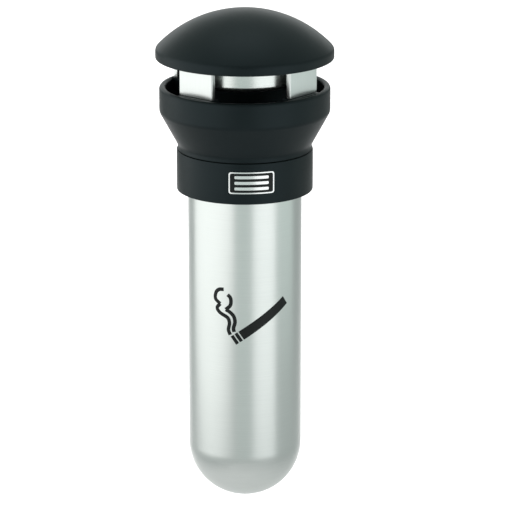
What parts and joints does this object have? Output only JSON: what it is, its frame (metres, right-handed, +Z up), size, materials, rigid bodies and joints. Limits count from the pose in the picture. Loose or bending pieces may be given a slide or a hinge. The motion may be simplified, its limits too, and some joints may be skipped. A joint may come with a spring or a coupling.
{
  "type": "wall-mounted ashtray bin",
  "caption": "Wall-mounted ashtray bin: a domed rain cap on flat posts over a flared bowl and a collar, which holds a round-bottomed steel canister that drops out to be emptied.",
  "frame": {"origin": "centre of the wall bracket's rear face", "axes": "+Z up along the canister; +Y into the wall, so the front faces -Y; +X to the viewer's right"},
  "size_m": [0.1558, 0.1679, 0.4418],
  "materials": {
    "black_plastic": "satin black",
    "brushed_steel": "brushed satin",
    "zinc": "zinc plated",
    "black_paint": "black powder coat",
    "rubber": "matt"
  },
  "bodies": {
    "housing": {"badge": "brushed_steel", "bowl": "black_plastic", "bowl_screw_1": "zinc", "bowl_screw_2": "zinc", "bowl_screw_3": "zinc", "bowl_screw_4": "zinc", "bracket_screw_1": "zinc", "bracket_screw_2": "zinc", "cap_plate": "black_plastic", "cap_screw_1": "zinc", "cap_screw_2": "zinc", "cap_screw_3": "zinc", "collar": "black_plastic", "drum_bolt": "zinc", "drum_nut": "zinc", "lock_body": "zinc", "lock_nut": "zinc", "post_base_screw_1": "zinc", "post_base_screw_2": "zinc", "post_base_screw_3": "zinc", "post_base_screw_4": "zinc", "post_front_left": "brushed_steel", "post_front_right": "brushed_steel", "post_rear_left": "brushed_steel", "post_rear_right": "brushed_steel", "post_top_screw_1": "zinc", "post_top_screw_2": "zinc", "post_top_screw_3": "zinc", "post_top_screw_4": "zinc", "rain_cap": "black_plastic", "snuffer_drum": "brushed_steel", "wall_bracket": "black_paint"},
    "canister": {"canister": "brushed_steel", "canister_rim": "brushed_steel", "guide_ring": "rubber"},
    "lock": {"lock_plug": "zinc", "lock_cam": "zinc", "cam_screw": "zinc"}
  },
  "joints": [
    {"name": "canister_drop", "type": "slide", "parent": "housing", "child": "canister", "axis": [0, 0, -1], "range_m": [0, 0.06]},
    {"name": "lock_turn", "type": "hinge", "parent": "housing", "child": "lock", "pos_m": [0, -0.09, 0.001], "axis": [0.7071, 0.7071, 0], "range_deg": [0, 90]}
  ]
}
